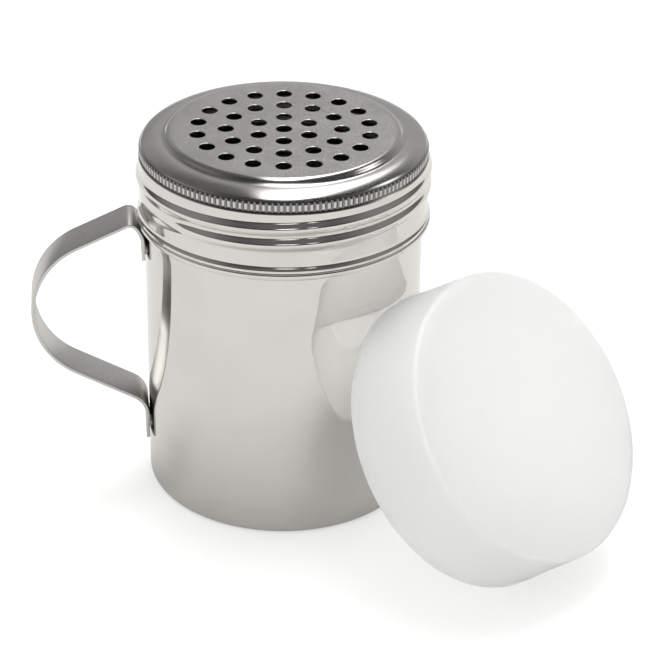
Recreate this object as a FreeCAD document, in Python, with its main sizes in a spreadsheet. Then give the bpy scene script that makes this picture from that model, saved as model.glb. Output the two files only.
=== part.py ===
"""Catering sugar dredger with a strap handle, a perforated screw lid and a plastic cover.

Millimetres, +Z up. The origin is the centre of the cup's base, the handle lies along -X, and the
cover leans against the cup on the other side with its rim on the surface that the cup stands on.
"""
import FreeCAD, Part
import math
import os

import Sketcher

FULL_TURN = 360.0
HALF_TURN = 180.0
QUARTER_TURN = 90.0
FIXED = 1e-6
THREAD_COLUMNS = 96
THREAD_ROWS = 36
KNURL_COLUMNS = 5
KNURL_ROWS = 9
BEAD_SIDES = 1.3
BEAD_END_SHARE = 0.22
HOLES_PER_RING = 6

# Driving dimensions: each is a cell of the sheet, in millimetres, degrees or counts.
SIZES = {
    # Cup
    "cup_radius": 35.0,
    "cup_height": 93.6,
    "cup_wall": 0.6,
    "base_round": 1.8,
    "neck_height": 17.6,
    "neck_blend": 0.8,
    "neck_inset": 0.3,
    "rim_roll": 0.475,
    # Thread, rolled into the neck of the cup and into the lid
    "thread_pitch": 4.1,
    "thread_drop": 11.8,
    "thread_start": 175.0,
    "thread_turns": 2.0,
    "thread_fade": 80.0,
    "cup_thread_height": 0.7,
    "cup_thread_width": 4.0,
    "lid_thread_height": 0.8,
    "lid_thread_width": 4.5,
    # Lid, from its hem up
    "lid_wall": 0.45,
    "lid_clearance": 0.3,
    "seat_gap": 0.5,
    "lid_height": 23.2,
    "hem_roll": 0.61,
    "hem_flat": 0.35,
    "hem_groove_rise": 0.6,
    "hem_groove_depth": 0.8,
    "lip_rise": 0.3,
    "lip_height": 0.6,
    "lip_proud": 0.52,
    "flare_height": 1.3,
    "flare_round": 2.5,
    "knurl_wall": 0.35,
    "knurl_depth": 0.33,
    "knurl_foot_drop": 5.55,
    "knurl_height": 2.5,
    "knurl_ridges": 158.0,
    "knurl_step": 0.45,
    "bore_step": 0.6,
    "shoulder_inset": 0.15,
    "corner_rise": 0.6,
    "corner_run": 0.7,
    "corner_round": 2.0,
    "dome_drop": 2.25,
    "dome_round": 9.0,
    "ledge_drop": 1.3,
    "dome_width": 3.85,
    "ledge_width": 0.4,
    "step_width": 2.7,
    "step_round": 1.73,
    # Holes in the lid's disc
    "hole_radius": 1.97,
    "hole_edge": 0.15,
    "hole_margin": 6.345,
    "hole_rings": 3.0,
    "hole_turn": -5.0,
    # Handle
    "strap_wall": 0.9,
    "strap_width": 11.7,
    "strap_edge": 0.18,
    "weld_gap": 0.15,
    "weld_radius": 1.6,
    "weld_spacing": 5.4,
    "lower_tab_foot": 12.6,
    "lower_tab_length": 6.7,
    "lower_bend": 6.5,
    "loop_stand": 9.05,
    "loop_rise_share": 0.5862,
    "loop_bend_share": 0.374,
    "upper_bend": 2.0,
    "upper_bend_drop": 1.5,
    "upper_lean_bend": 7.75,
    "upper_lean_rise": 3.7,
    "upper_tab_length": 4.0,
    # Cover
    "cover_wall": 0.65,
    "cover_clearance": 0.1,
    "cover_depth": 21.5,
    "cover_taper": 1.1,
    "cover_round": 1.1,
    "cover_lip_proud": 0.2,
    "cover_lip_height": 2.0,
    "cover_lip_blend": 0.3,
    "cover_bearing": -43.3,
    "cover_tilt": 38.2,
    "cover_gap": 0.3,
    # Overrun of every cut past the face that it leaves through
    "overrun": 1.0,
}

# Sizes that follow from the driving ones, in the order in which they are worked out.
DERIVED = {
    # Cup
    "base_flat": "cup_radius - base_round",
    "cup_bore": "cup_radius - cup_wall",
    "inner_round": "base_round - cup_wall",
    "neck_foot": "cup_height - neck_height",
    "neck_head": "neck_foot + neck_blend",
    "neck_radius": "cup_radius - neck_inset",
    "neck_bore": "neck_radius - cup_wall",
    "rim_centre_height": "cup_height - rim_roll",
    "rim_under": "rim_centre_height - rim_roll",
    "rim_centre_radius": "neck_bore + rim_roll",
    "rim_crest": "rim_centre_radius + rim_roll",
    # Thread
    "thread_foot": "cup_height - thread_drop",
    "cup_thread_crest": "neck_radius + cup_thread_height",
    "lid_bore": "cup_thread_crest + lid_clearance",
    "band_radius": "lid_bore + lid_wall",
    "lid_thread_crest": "band_radius + lid_thread_height",
    # Lid heights
    "lid_top": "cup_height + seat_gap + lid_wall + dome_drop",
    "disc_underside": "lid_top - lid_wall",
    "ledge_top": "lid_top - ledge_drop",
    "ledge_underside": "ledge_top - lid_wall",
    "step_middle": "lid_top - ledge_drop / 2",
    "dome_foot": "lid_top - dome_drop",
    "dome_underside": "dome_foot - lid_wall",
    "shoulder_foot": "dome_foot - corner_rise",
    "knurl_foot": "lid_top - knurl_foot_drop",
    "knurl_head": "knurl_foot + knurl_height",
    "knurl_bore_head": "knurl_head - lid_wall / 2",
    "band_head": "knurl_foot - knurl_step",
    "bore_step_foot": "knurl_foot - bore_step",
    "hem_foot": "lid_top - lid_height",
    "hem_centre": "hem_foot + hem_roll",
    "hem_shoulder": "hem_centre + hem_flat",
    "hem_groove_height": "hem_shoulder + hem_groove_rise",
    "lip_foot": "hem_groove_height + lip_rise",
    "lip_head": "lip_foot + lip_height",
    "flare_head": "lip_head + flare_height",
    # Lid radii
    "hem_middle": "lid_bore + hem_roll",
    "hem_crest": "hem_middle + hem_roll",
    "hem_groove_radius": "hem_crest - hem_groove_depth",
    "lip_radius": "band_radius + lip_proud",
    "knurl_bore": "rim_crest + lid_clearance",
    "knurl_root": "knurl_bore + knurl_wall",
    "shoulder_radius": "knurl_root - shoulder_inset",
    "corner_radius": "shoulder_radius - corner_run",
    "corner_bore": "corner_radius - lid_wall",
    "corner_bore_round": "corner_round + lid_wall / 2",
    "dome_bore_round": "dome_round - lid_wall",
    "ledge_radius": "corner_radius - dome_width",
    "ledge_inner": "ledge_radius - ledge_width",
    "step_centre": "ledge_inner - step_width / 2",
    "disc_radius": "ledge_inner - step_width",
    "disc_bore": "disc_radius - lid_wall / 2",
    "ledge_bore": "ledge_inner - lid_wall / 2",
    "hole_pitch": "(disc_radius - hole_margin) / hole_rings",
    # Handle, drawn along +X and turned to its side afterwards
    "strap_seat": "cup_radius + weld_gap",
    "tab_line": "strap_seat + strap_wall / 2",
    "lower_tab_head": "lower_tab_foot + lower_tab_length",
    "upper_bend_centre": "hem_foot - upper_bend_drop",
    "upper_tab_head": "upper_bend_centre - upper_lean_rise",
    "upper_tab_foot": "upper_tab_head - upper_tab_length",
    "handle_rise": "upper_bend_centre - lower_tab_head",
    "loop_reach": "cup_radius + loop_stand",
    "loop_centre": "lower_tab_head + handle_rise * loop_rise_share",
    "loop_bend": "handle_rise * loop_bend_share",
    "strap_far": "strap_width / 2",
    "strap_far_flat": "strap_far - strap_edge",
    "strap_near": "-strap_width / 2",
    "strap_near_flat": "strap_near + strap_edge",
    "strap_outer": "strap_seat + strap_wall",
    "strap_seat_flat": "strap_seat + strap_edge",
    "strap_outer_flat": "strap_outer - strap_edge",
    "lower_weld": "(lower_tab_foot + lower_tab_head) / 2",
    "upper_weld": "(upper_tab_foot + upper_tab_head) / 2",
    "weld_reach": "weld_gap + cup_wall",
    # Cover
    "cover_bore": "lid_thread_crest + cover_clearance",
    "cover_mouth": "cover_bore + cover_wall",
    "cover_lip": "cover_mouth + cover_lip_proud",
    "cover_lip_head": "cover_lip_height + cover_lip_blend",
    "cover_face": "cover_mouth - cover_taper",
    "cover_face_flat": "cover_face - cover_round",
    "cover_round_foot": "cover_depth - cover_round",
    "cover_floor": "cover_depth - cover_wall",
    "cover_inner_round": "cover_round - cover_wall / 2",
    "cover_floor_round": "cover_floor - cover_inner_round",
    "cover_floor_radius": "cover_face - cover_wall",
    "cover_floor_flat": "cover_floor_radius - cover_inner_round",
}

doc = FreeCAD.newDocument("SugarDredger")


def make_sheet():
    """Put the driving and derived sizes in the sheet, each cell under its alias."""
    cells = doc.addObject("Spreadsheet::Sheet", "Sizes")
    rows = [(name, str(value)) for name, value in SIZES.items()]
    rows += [(name, "=" + formula) for name, formula in DERIVED.items()]
    for row, (name, content) in enumerate(rows, start=1):
        cells.set(f"A{row}", name)
        cells.set(f"B{row}", content)
        cells.setAlias(f"B{row}", name)
        cells.recompute()
    return cells


sheet = make_sheet()


def size(name):
    """The number in the sheet's cell of that name, or zero for no name."""
    if name is None:
        return 0.0
    return float(sheet.get(name))


def plane_of(body, role):
    """A body's own origin plane or axis."""
    for feature in body.Origin.OriginFeatures:
        if feature.Role == role:
            return feature
    raise ValueError(role)


def new_sketch(body, name, role, offset=None):
    """A sketch on one of the body's origin planes, lifted off it by a named size."""
    sketch = body.newObject("Sketcher::SketchObject", name)
    sketch.AttachmentSupport = [(plane_of(body, role), "")]
    sketch.MapMode = "FlatFace"
    if offset is not None:
        sketch.AttachmentOffset = FreeCAD.Placement(FreeCAD.Vector(0, 0, size(offset)), FreeCAD.Rotation())
        sketch.setExpression("AttachmentOffset.Base.z", f"Sizes.{offset}")
    return sketch


def arc_between(start, end, radius, turn):
    """The short arc from start to end, to the left for a turn of 1 and to the right for -1."""
    chord = end - start
    reach = math.sqrt(max(radius ** 2 - (chord.Length / 2) ** 2, 0.0))
    left = FreeCAD.Vector(-chord.y, chord.x, 0).normalize()
    centre = (start + end) / 2 + left * (reach * turn)
    angles = [math.atan2(point.y - centre.y, point.x - centre.x) for point in (start, end)]
    if turn < 0:
        angles.reverse()
    return Part.ArcOfCircle(Part.Circle(centre, FreeCAD.Vector(0, 0, 1), radius), *angles)


def bind(sketch, constraint, name):
    """Add a constraint whose value is a cell of the sheet."""
    index = sketch.addConstraint(constraint)
    sketch.renameConstraint(index, f"{name}_{index}")
    sketch.setExpression(f"Constraints.{name}_{index}", f"Sizes.{name}")


def pin_point(sketch, geometry, end, across, up):
    """Hold one end of an edge at two named distances from the sketch's origin."""
    if across is None:
        sketch.addConstraint(Sketcher.Constraint("PointOnObject", geometry, end, -2))
    else:
        bind(sketch, Sketcher.Constraint("DistanceX", -1, 1, geometry, end, size(across)), across)
    if up is None:
        sketch.addConstraint(Sketcher.Constraint("PointOnObject", geometry, end, -1))
    else:
        bind(sketch, Sketcher.Constraint("DistanceY", -1, 1, geometry, end, size(up)), up)


def draw_outline(sketch, corners):
    """Draw a closed outline through corners at named places.

    Each corner is (across, up) or (across, up, radius, turn): the last two make the edge that
    leaves the corner an arc of that named radius.
    """
    points = [FreeCAD.Vector(size(corner[0]), size(corner[1]), 0) for corner in corners]
    ends = []
    for index, corner in enumerate(corners):
        start, end = points[index], points[(index + 1) % len(points)]
        if len(corner) == 2:
            edge = sketch.addGeometry(Part.LineSegment(start, end))
            ends.append((edge, 1, 2))
        else:
            radius, turn = corner[2], corner[3]
            edge = sketch.addGeometry(arc_between(start, end, size(radius), turn))
            ends.append((edge, 1, 2) if turn > 0 else (edge, 2, 1))
    for index, corner in enumerate(corners):
        edge, first, _ = ends[index]
        before, _, last = ends[index - 1]
        sketch.addConstraint(Sketcher.Constraint("Coincident", before, last, edge, first))
        pin_point(sketch, edge, first, corner[0], corner[1])
        if len(corner) == 4:
            bind(sketch, Sketcher.Constraint("Radius", edge, size(corner[2])), corner[2])


def revolved_body(name, corners):
    """A body turned about Z from an outline in the XZ plane."""
    body = doc.addObject("PartDesign::Body", name)
    sketch = new_sketch(body, f"{name}_outline", "XZ_Plane")
    draw_outline(sketch, corners)
    turned = body.newObject("PartDesign::Revolution", f"{name}_turned")
    turned.Profile = sketch
    turned.ReferenceAxis = (sketch, ["V_Axis"])
    turned.Angle = FULL_TURN
    body.Tip = turned
    doc.recompute()
    return body


def faded(share):
    """A smooth rise from zero to one."""
    share = min(max(share, 0.0), 1.0)
    return share * share * (3 - 2 * share)


def thread_swell(angle, height, ridge, half_width):
    """How far the rolled thread stands out of the wall at an angle in radians and a height."""
    sweep = size("thread_turns") * FULL_TURN
    turned = (math.degrees(angle) - size("thread_start")) % FULL_TURN
    swell = 0.0
    while turned <= sweep:
        shown = faded(min(turned, sweep - turned) / size("thread_fade"))
        crest = size("thread_foot") + size("thread_pitch") * turned / FULL_TURN
        away = abs(height - crest)
        if away < half_width:
            swell += ridge * shown * math.cos(math.pi * away / (2 * half_width)) ** 2
        turned += FULL_TURN
    return swell


def knurl_swell(angle, height, ridge, foot, head):
    """How far the upright beads of the knurl stand out of their root."""
    across = abs(math.cos(angle * size("knurl_ridges") / 2))
    from_end = min(height - foot, head - height) / (head - foot)
    return ridge * across ** BEAD_SIDES * faded(from_end / BEAD_END_SHARE)


def swollen_face(radius, foot, head, columns, rows, swell):
    """A cylindrical face with swell(angle, height) added, and its two end circles left exact."""
    tube = Part.makeCylinder(radius, head - foot, FreeCAD.Vector(0, 0, foot))
    side = next(face for face in tube.Faces if isinstance(face.Surface, Part.Cylinder))
    surface = side.toNurbs().Faces[0].Surface
    surface.increaseDegree(2, 3)
    first, last, low, high = surface.bounds()
    kept = surface.getUKnots()
    across = [first + (last - first) * step / columns for step in range(1, columns)]
    across = [knot for knot in across if min(abs(knot - old) for old in kept) > FIXED]
    upward = [low + (high - low) * step / rows for step in range(1, rows)]
    surface.insertUKnots(across, [1] * len(across), FIXED * FIXED, False)
    surface.insertVKnots(upward, [1] * len(upward), FIXED * FIXED, False)
    for column in range(1, surface.NbUPoles + 1):
        for row in range(3, surface.NbVPoles - 1):
            pole = surface.getPole(column, row)
            stretch = 1 + swell(math.atan2(pole.y, pole.x), pole.z) / radius
            surface.setPole(column, row, FreeCAD.Vector(pole.x * stretch, pole.y * stretch, pole.z))
    return surface.toShape()


def is_cylinder_of(face, radius):
    """Whether a face is a cylinder about Z of that radius."""
    surface = face.Surface
    return (isinstance(surface, Part.Cylinder) and abs(surface.Radius - radius) < FIXED
            and math.hypot(surface.Center.x, surface.Center.y) < FIXED)


def rolled(name, pressing, new_faces):
    """The pressing as a solid of the same name's own, with some cylindrical faces exchanged.

    new_faces holds pairs of a radius and the face that takes the place of the cylinder there.
    """
    radii = [radius for radius, _ in new_faces]
    faces = [face for face in pressing.Shape.Faces
             if not any(is_cylinder_of(face, radius) for radius in radii)]
    faces += [face for _, face in new_faces]
    result = doc.addObject("Part::Feature", name)
    result.Shape = Part.Solid(Part.Shell(faces))
    return result


def cut_from(name, base, tool):
    """A Part::Cut of two objects."""
    result = doc.addObject("Part::Cut", name)
    result.Base = base
    result.Tool = tool
    doc.recompute()
    return result


def make_cup():
    """Deep-drawn cup with a drawn-in neck, a rolled thread and a rim curled outwards."""
    shell = revolved_body("cup_pressing", [
        (None, None),
        ("base_flat", None, "base_round", 1),
        ("cup_radius", "base_round"),
        ("cup_radius", "neck_foot"),
        ("neck_radius", "neck_head"),
        ("neck_radius", "rim_under", "rim_roll", 1),
        ("rim_crest", "rim_centre_height", "rim_roll", 1),
        ("rim_centre_radius", "cup_height", "rim_roll", 1),
        ("neck_bore", "rim_centre_height"),
        ("neck_bore", "neck_head"),
        ("cup_bore", "neck_foot"),
        ("cup_bore", "base_round", "inner_round", -1),
        ("base_flat", "cup_wall"),
        (None, "cup_wall"),
    ])

    def swell(angle, height):
        return thread_swell(angle, height, size("cup_thread_height"), size("cup_thread_width") / 2)

    outer, inner, foot = size("neck_radius"), size("neck_bore"), size("neck_head")
    return rolled("cup", shell, [
        (outer, swollen_face(outer, foot, size("rim_under"), THREAD_COLUMNS, THREAD_ROWS, swell)),
        (inner, swollen_face(inner, foot, size("rim_centre_height"), THREAD_COLUMNS, THREAD_ROWS, swell)),
    ])


def make_lid_pressing():
    """The lid before its thread and knurl are rolled: down the inside from the axis and back."""
    return revolved_body("lid_pressing", [
        (None, "disc_underside"),
        ("disc_bore", "disc_underside"),
        ("ledge_bore", "ledge_underside"),
        ("ledge_radius", "ledge_underside", "dome_bore_round", -1),
        ("corner_bore", "dome_underside", "corner_bore_round", -1),
        ("knurl_bore", "knurl_bore_head"),
        ("knurl_bore", "knurl_foot"),
        ("lid_bore", "bore_step_foot"),
        ("lid_bore", "hem_centre", "hem_roll", 1),
        ("hem_middle", "hem_foot", "hem_roll", 1),
        ("hem_crest", "hem_centre"),
        ("hem_crest", "hem_shoulder", "hem_roll", 1),
        ("hem_groove_radius", "hem_groove_height"),
        ("lip_radius", "lip_foot"),
        ("lip_radius", "lip_head", "flare_round", -1),
        ("band_radius", "flare_head"),
        ("band_radius", "band_head"),
        ("knurl_root", "knurl_foot"),
        ("knurl_root", "knurl_head"),
        ("shoulder_radius", "shoulder_foot", "corner_round", 1),
        ("corner_radius", "dome_foot", "dome_round", 1),
        ("ledge_radius", "ledge_top"),
        ("ledge_inner", "ledge_top", "step_round", -1),
        ("step_centre", "step_middle", "step_round", 1),
        ("disc_radius", "lid_top"),
        (None, "lid_top"),
    ])


def hole_cutters():
    """Cutters for the centre hole and the three rings, each with its edge taken off."""
    radius, edge, over = size("hole_radius"), size("hole_edge"), size("overrun")
    underside, top = size("disc_underside"), size("lid_top")
    up = FreeCAD.Vector(0, 0, 1)
    centres = [FreeCAD.Vector(0, 0, 0)]
    for ring in range(1, int(size("hole_rings")) + 1):
        count = HOLES_PER_RING * ring
        reach = ring * size("hole_pitch")
        for index in range(count):
            angle = math.radians(size("hole_turn") + QUARTER_TURN + FULL_TURN * index / count)
            centres.append(FreeCAD.Vector(reach * math.cos(angle), reach * math.sin(angle), 0))
    cutters = []
    for centre in centres:
        drill = Part.makeCylinder(radius, top - underside + 2 * over, centre + up * (underside - over), up)
        bevel = Part.makeCone(radius, radius + 2 * edge, 2 * edge, centre + up * (top - edge), up)
        cutters.append(drill.fuse(bevel))
    holes = doc.addObject("Part::Feature", "lid_holes")
    holes.Shape = Part.makeCompound(cutters)
    return holes


def make_lid():
    """Perforated screw lid: the pressing pierced, threaded and knurled."""
    pierced = cut_from("lid_pierced", make_lid_pressing(), hole_cutters())
    foot, head = size("knurl_foot"), size("knurl_head")

    def swell(angle, height):
        return thread_swell(angle, height, size("lid_thread_height"), size("lid_thread_width") / 2)

    def ridges(angle, height):
        return knurl_swell(angle, height, size("knurl_depth"), foot, head)

    outer, inner, root = size("band_radius"), size("lid_bore"), size("knurl_root")
    low, high = size("flare_head"), size("band_head")
    inner_low, inner_high = size("hem_centre"), size("bore_step_foot")
    columns = int(size("knurl_ridges")) * KNURL_COLUMNS
    return rolled("perforated_lid", pierced, [
        (outer, swollen_face(outer, low, high, THREAD_COLUMNS, THREAD_ROWS, swell)),
        (inner, swollen_face(inner, inner_low, inner_high, THREAD_COLUMNS, THREAD_ROWS, swell)),
        (root, swollen_face(root, foot, head, columns, KNURL_ROWS, ridges)),
    ])


def tangent_points(start, start_radius, start_turn, end, end_radius, end_turn):
    """Where a straight run leaves one bend and meets the next.

    A turn of 1 is a bend to the left and -1 one to the right.
    """
    gap = end - start
    share = (end_turn * end_radius - start_turn * start_radius) / gap.Length
    heading = math.atan2(gap.y, gap.x) - math.asin(share)
    left = FreeCAD.Vector(-math.sin(heading), math.cos(heading), 0)
    return start - left * (start_turn * start_radius), end - left * (end_turn * end_radius)


def draw_strap_path(sketch):
    """The strap's centre line: lower tab, bend, run, loop, run, tight bend, lean and upper tab."""
    line = size("tab_line")
    low_bend, loop_bend = size("lower_bend"), size("loop_bend")
    top_bend, lean_bend = size("upper_bend"), size("upper_lean_bend")
    low_centre = FreeCAD.Vector(line + low_bend, size("lower_tab_head"), 0)
    loop_centre = FreeCAD.Vector(size("loop_reach"), size("loop_centre"), 0)
    lean_centre = FreeCAD.Vector(line + lean_bend, size("upper_tab_head"), 0)
    rise = size("upper_lean_rise")
    slack = lean_bend - top_bend
    top_centre = lean_centre + FreeCAD.Vector(-math.sqrt(slack ** 2 - rise ** 2), rise, 0)
    low_out, loop_in = tangent_points(low_centre, low_bend, -1, loop_centre, loop_bend, 1)
    loop_out, top_in = tangent_points(loop_centre, loop_bend, 1, top_centre, top_bend, 1)
    top_out = lean_centre + (top_centre - lean_centre).normalize() * lean_bend
    tab_ends = [FreeCAD.Vector(line, size(height), 0)
                for height in ("lower_tab_foot", "lower_tab_head", "upper_tab_head", "upper_tab_foot")]
    low_tab = sketch.addGeometry(Part.LineSegment(tab_ends[0], tab_ends[1]))
    low_arc = sketch.addGeometry(centred_arc(low_centre, low_bend, low_out, tab_ends[1]))
    low_run = sketch.addGeometry(Part.LineSegment(low_out, loop_in))
    loop = sketch.addGeometry(centred_arc(loop_centre, loop_bend, loop_in, loop_out))
    top_run = sketch.addGeometry(Part.LineSegment(loop_out, top_in))
    top_arc = sketch.addGeometry(centred_arc(top_centre, top_bend, top_in, top_out))
    lean = sketch.addGeometry(centred_arc(lean_centre, lean_bend, top_out, tab_ends[2]))
    top_tab = sketch.addGeometry(Part.LineSegment(tab_ends[2], tab_ends[3]))
    joints = [(low_tab, 2, low_arc, 2), (low_arc, 1, low_run, 1), (low_run, 2, loop, 1), (loop, 2, top_run, 1),
              (top_run, 2, top_arc, 1), (top_arc, 2, lean, 1), (lean, 2, top_tab, 1)]
    for joint in joints:
        sketch.addConstraint(Sketcher.Constraint("Tangent", *joint))
    for arc, name in ((low_arc, "lower_bend"), (loop, "loop_bend"), (top_arc, "upper_bend"),
                      (lean, "upper_lean_bend")):
        bind(sketch, Sketcher.Constraint("Radius", arc, size(name)), name)
    pin_point(sketch, low_tab, 1, "tab_line", "lower_tab_foot")
    pin_point(sketch, top_tab, 2, "tab_line", "upper_tab_foot")
    pin_point(sketch, loop, 3, "loop_reach", "loop_centre")
    bind(sketch, Sketcher.Constraint("DistanceY", -1, 1, low_tab, 2, size("lower_tab_head")), "lower_tab_head")
    bind(sketch, Sketcher.Constraint("DistanceY", -1, 1, top_tab, 1, size("upper_tab_head")), "upper_tab_head")
    bind(sketch, Sketcher.Constraint("DistanceY", -1, 1, top_arc, 3, size("upper_bend_centre")),
         "upper_bend_centre")
    for tab in (low_tab, top_tab):
        sketch.addConstraint(Sketcher.Constraint("Vertical", tab))


def centred_arc(centre, radius, start, end):
    """The arc about a centre, to the left from start to end."""
    angles = [math.atan2(point.y - centre.y, point.x - centre.x) for point in (start, end)]
    if angles[1] < angles[0]:
        angles[1] += math.tau
    return Part.ArcOfCircle(Part.Circle(centre, FreeCAD.Vector(0, 0, 1), radius), *angles)


def make_handle():
    """One flat strap with soft edges, bent along its centre line and turned to the cup's -X side."""
    body = doc.addObject("PartDesign::Body", "handle")
    path = new_sketch(body, "strap_path", "XZ_Plane")
    draw_strap_path(path)
    section = new_sketch(body, "strap_section", "XY_Plane", "lower_tab_foot")
    draw_outline(section, [
        ("strap_seat_flat", "strap_near"),
        ("strap_outer_flat", "strap_near", "strap_edge", 1),
        ("strap_outer", "strap_near_flat"),
        ("strap_outer", "strap_far_flat", "strap_edge", 1),
        ("strap_outer_flat", "strap_far"),
        ("strap_seat_flat", "strap_far", "strap_edge", 1),
        ("strap_seat", "strap_far_flat"),
        ("strap_seat", "strap_near_flat", "strap_edge", 1),
    ])
    doc.recompute()
    strap = body.newObject("PartDesign::AdditivePipe", "strap")
    strap.Profile = section
    strap.Spine = (path, [])
    body.Tip = strap
    body.Placement = FreeCAD.Placement(FreeCAD.Vector(), FreeCAD.Rotation(HALF_TURN, 0, 0))
    doc.recompute()
    return body


def make_welds():
    """Four spots of weld metal between the flat tabs and the round wall."""
    wall = doc.addObject("Part::Cylinder", "weld_wall")
    wall.setExpression("Radius", "Sizes.cup_radius")
    wall.setExpression("Height", "Sizes.cup_height")
    spots = []
    for level in ("lower_weld", "upper_weld"):
        for side in (-1, 1):
            number = len(spots) + 1
            spot = doc.addObject("Part::Cylinder", f"weld_metal_{number}")
            spot.setExpression("Radius", "Sizes.weld_radius")
            spot.setExpression("Height", "Sizes.weld_reach")
            spot.Placement.Rotation = FreeCAD.Rotation(FreeCAD.Vector(0, 1, 0), QUARTER_TURN)
            spot.setExpression("Placement.Base.x", "-Sizes.strap_seat")
            spot.setExpression("Placement.Base.y", f"{side} * Sizes.weld_spacing / 2")
            spot.setExpression("Placement.Base.z", f"Sizes.{level}")
            spots.append(cut_from(f"weld_{number}", spot, wall))
    welds = doc.addObject("Part::Compound", "handle_welds")
    welds.Links = spots
    doc.recompute()
    return welds


def make_cover():
    """Thin plastic cap with a small lip, leaning on the cup with its closed face outwards."""
    cover = revolved_body("cover", [
        (None, "cover_floor"),
        ("cover_floor_flat", "cover_floor", "cover_inner_round", -1),
        ("cover_floor_radius", "cover_floor_round"),
        ("cover_bore", None),
        ("cover_lip", None),
        ("cover_lip", "cover_lip_height"),
        ("cover_mouth", "cover_lip_head"),
        ("cover_face", "cover_round_foot", "cover_round", 1),
        ("cover_face_flat", "cover_depth"),
        (None, "cover_depth"),
    ])
    tilt, bearing = math.radians(size("cover_tilt")), math.radians(size("cover_bearing"))
    away = size("cup_radius") + size("cover_gap") + size("cover_lip") * math.sin(tilt)
    height = size("cover_lip") * math.cos(tilt)
    place = FreeCAD.Vector(away * math.cos(bearing), away * math.sin(bearing), height)
    turn = FreeCAD.Rotation(size("cover_bearing"), QUARTER_TURN - size("cover_tilt"), 0)
    cover.Placement = FreeCAD.Placement(place, turn)
    doc.recompute()
    return cover


def check(piece):
    """Stop if a piece is empty or broken, or if any object of the document failed."""
    for item in doc.Objects:
        if "Invalid" in item.State or "Error" in item.State:
            raise RuntimeError(f"{item.Name}: {item.State}")
    if piece.Shape.isNull() or not piece.Shape.isValid():
        raise RuntimeError(f"{piece.Label}: broken shape")
    if any(solid.Volume <= 0 for solid in piece.Shape.Solids) or not piece.Shape.Solids:
        raise RuntimeError(f"{piece.Label}: no solid")


def main():
    """Build every piece, check all of them and then write one file for each."""
    pieces = [make_cup(), make_lid(), make_handle(), make_welds(), make_cover()]
    doc.recompute()
    for piece in pieces:
        check(piece)
    os.makedirs("parts", exist_ok=True)
    for piece in pieces:
        piece.Shape.exportStep(f"parts/{piece.Label}.step")
        solids = len(piece.Shape.Solids)
        print(f"{piece.Label}: {solids} solids, {piece.Shape.Volume:.1f} cubic mm")


main()
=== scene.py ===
"""Looks of the sugar dredger: polished steel cup and lid, strap handle and milky plastic cover.

Everything is in metres in the CAD model's frame: the origin is the centre of the cup's base, +Z is
up, the handle lies along -X, and the cover leans on the cup on the +X -Y side.
"""

import logging
import math
from collections.abc import Callable, Iterable, Sequence
from dataclasses import dataclass, field
from enum import Enum

import bmesh
import bpy
from mathutils import Matrix, Vector

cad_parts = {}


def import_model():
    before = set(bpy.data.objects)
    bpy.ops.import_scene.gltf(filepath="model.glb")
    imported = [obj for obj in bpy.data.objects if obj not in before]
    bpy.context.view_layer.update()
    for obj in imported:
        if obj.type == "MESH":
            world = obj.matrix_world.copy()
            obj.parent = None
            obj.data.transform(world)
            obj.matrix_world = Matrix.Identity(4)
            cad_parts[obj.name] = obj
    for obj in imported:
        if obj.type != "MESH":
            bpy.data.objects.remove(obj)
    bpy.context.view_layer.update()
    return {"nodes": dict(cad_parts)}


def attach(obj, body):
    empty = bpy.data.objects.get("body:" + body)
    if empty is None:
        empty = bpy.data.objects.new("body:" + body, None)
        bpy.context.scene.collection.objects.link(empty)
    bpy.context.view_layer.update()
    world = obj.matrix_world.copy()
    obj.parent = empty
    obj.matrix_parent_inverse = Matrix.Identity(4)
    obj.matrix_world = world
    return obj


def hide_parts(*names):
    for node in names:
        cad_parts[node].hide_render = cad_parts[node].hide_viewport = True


MM = 0.001
ARC_STEPS = 6
FULL_TURN = math.tau
HALF_TURN = math.pi
QUARTER_TURN = math.pi / 2
SHARP_EDGE = math.radians(38.0)

# Octaves of noise: how much small detail a pattern has.
FINE = 4.0
CLOUDY = 3.0
SOFT = 2.0
SMOOTH = 1.0

LOG = logging.getLogger("dredger")

Swell = Callable[[float, float], float]
Point = tuple[float, float]
Colour = tuple[float, float, float]


class Grain(Enum):
    """The ways in which brushing or blasting marks a steel surface."""

    TURNED = "rings about the object's axis"
    BLASTED = "fine specks"
    BRUSHED = "streaks across the strap"


class CupSide(Enum):
    """The parts of the cup's surface, each with the index of its material."""

    OUTSIDE = 0
    INSIDE = 1


class LidSide(Enum):
    """The parts of the lid's surface, each with the index of its material."""

    BRIGHT = 0
    DISC = 1
    SHOULDER = 2
    INSIDE = 3
    KNURL = 4


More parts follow.
